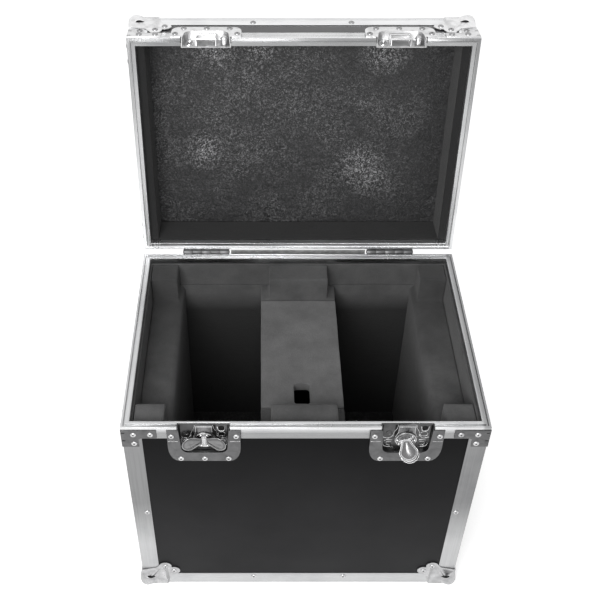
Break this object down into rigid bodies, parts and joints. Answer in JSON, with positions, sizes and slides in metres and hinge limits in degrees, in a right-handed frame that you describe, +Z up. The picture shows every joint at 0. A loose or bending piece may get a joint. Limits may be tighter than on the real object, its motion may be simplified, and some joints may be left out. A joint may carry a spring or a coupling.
{
  "type": "road case",
  "caption": "Flight-style road case with ball corners, recessed twist latches, side handles and a foam-lined interior, lid open.",
  "frame": {"origin": "middle of the bounding box's underside, on the surface that the ball corners stand on, lid open", "axes": "+Z up, +X along the case's width to the right seen from the latches, +Y from the latches to the hinges"},
  "size_m": [0.5628, 0.5614, 0.8401],
  "materials": {
    "laminate": "black laminated birch plywood, lightly grained",
    "extrusion": "mill aluminium, softly brushed",
    "plated": "zinc plated pressed steel",
    "claw_steel": "bright plated steel",
    "dark_strip": "dark coated steel",
    "foam_black": "charcoal closed-cell foam, matt"
  },
  "bodies": {
    "base": {"floor_panel": "laminate", "front_panel": "laminate", "rear_panel": "laminate", "left_panel": "laminate", "right_panel": "laminate", "base_edge_frame": "extrusion", "base_rim": "extrusion", "base_ball_corner_front_left": "plated", "base_ball_corner_front_right": "plated", "base_ball_corner_rear_left": "plated", "base_ball_corner_rear_right": "plated", "base_rim_brace_front_left": "plated", "base_rim_brace_front_right": "plated", "base_rim_brace_rear_left": "plated", "base_rim_brace_rear_right": "plated", "latch_dish_left": "plated", "latch_dish_right": "plated", "handle_dish_left": "plated", "handle_dish_right": "plated", "hinge_base_leaf_left": "plated", "hinge_base_leaf_right": "plated", "hinge_pin_left": "dark_strip", "hinge_pin_right": "dark_strip", "rear_gap_strip": "dark_strip", "foam_tray": "foam_black", "side_pad_left": "foam_black", "side_pad_right": "foam_black", "divider_box": "foam_black"},
    "lid": {"lid_top_panel": "laminate", "lid_front_panel": "laminate", "lid_rear_panel": "laminate", "lid_left_panel": "laminate", "lid_right_panel": "laminate", "lid_edge_frame": "extrusion", "lid_rim": "extrusion", "lid_rim_middle": "extrusion", "lid_ball_corner_front_left": "plated", "lid_ball_corner_front_right": "plated", "lid_ball_corner_rear_left": "plated", "lid_ball_corner_rear_right": "plated", "lid_rim_brace_front_left": "plated", "lid_rim_brace_front_right": "plated", "lid_rim_brace_rear_left": "plated", "lid_rim_brace_rear_right": "plated", "keeper_dish_left": "plated", "keeper_dish_right": "plated", "hinge_lid_leaf_left": "plated", "hinge_lid_leaf_right": "plated", "lid_foam": "foam_black"},
    "cable_cover": {"cable_box_cover": "foam_black"},
    "claw_left": {"latch_claw_left": "claw_steel"},
    "hub_left": {"latch_hub_left": "plated"},
    "wing_left_a": {"latch_wing_left_a": "plated"},
    "wing_left_b": {"latch_wing_left_b": "plated"},
    "claw_right": {"latch_claw_right": "claw_steel"},
    "hub_right": {"latch_hub_right": "plated"},
    "wing_right_a": {"latch_wing_right_a": "plated"},
    "wing_right_b": {"latch_wing_right_b": "plated"},
    "bail_left": {"handle_bail_left": "claw_steel"},
    "bail_right": {"handle_bail_right": "claw_steel"}
  },
  "joints": [
    {"name": "lid_hinge", "type": "hinge", "parent": "base", "child": "lid", "pos_m": [0, 0.1399, 0.4433], "axis": [1, 0, 0], "range_deg": [0, 96.5]},
    {"name": "cable_cover_lift", "type": "slide", "parent": "base", "child": "cable_cover", "axis": [0, 0, 1], "range_m": [0, 0.05]},
    {"name": "latch_turn_left", "type": "hinge", "parent": "base", "child": "hub_left", "pos_m": [-0.152, -0.2584, 0.4074], "axis": [0, -1, 0], "range_deg": [0, 180]},
    {"name": "latch_claw_left", "type": "slide", "parent": "base", "child": "claw_left", "axis": [0, 0, 1], "range_m": [0, 0.011]},
    {"name": "latch_fold_left_a", "type": "hinge", "parent": "hub_left", "child": "wing_left_a", "pos_m": [-0.1546, -0.2547, 0.4074], "axis": [0, 0, 1], "range_deg": [-19, 71]},
    {"name": "latch_fold_left_b", "type": "hinge", "parent": "hub_left", "child": "wing_left_b", "pos_m": [-0.1494, -0.2547, 0.4074], "axis": [0, 0, -1], "range_deg": [-19, 71]},
    {"name": "latch_turn_right", "type": "hinge", "parent": "base", "child": "hub_right", "pos_m": [0.152, -0.2584, 0.4074], "axis": [0, -1, 0], "range_deg": [-110, 70]},
    {"name": "latch_claw_right", "type": "slide", "parent": "base", "child": "claw_right", "axis": [0, 0, 1], "range_m": [-0.00673, 0.00428]},
    {"name": "latch_fold_right_a", "type": "hinge", "parent": "hub_right", "child": "wing_right_a", "pos_m": [0.15111, -0.2547, 0.40984], "axis": [0.9397, 0, 0.342], "range_deg": [-118, 0]},
    {"name": "latch_fold_right_b", "type": "hinge", "parent": "hub_right", "child": "wing_right_b", "pos_m": [0.15289, -0.2547, 0.40496], "axis": [-0.9397, 0, -0.342], "range_deg": [-30, 0]},
    {"name": "handle_swing_left", "type": "hinge", "parent": "base", "child": "bail_left", "pos_m": [-0.2688, -0.0619, 0.283], "axis": [0, 1, 0], "range_deg": [0, 90]},
    {"name": "handle_swing_right", "type": "hinge", "parent": "base", "child": "bail_right", "pos_m": [0.2688, -0.0619, 0.283], "axis": [0, -1, 0], "range_deg": [0, 90]}
  ],
  "couplings": [
    {"joint": "latch_claw_left", "follows": "latch_turn_left", "m_per_rad": 0.0035},
    {"joint": "latch_claw_right", "follows": "latch_turn_right", "m_per_rad": 0.0035}
  ]
}
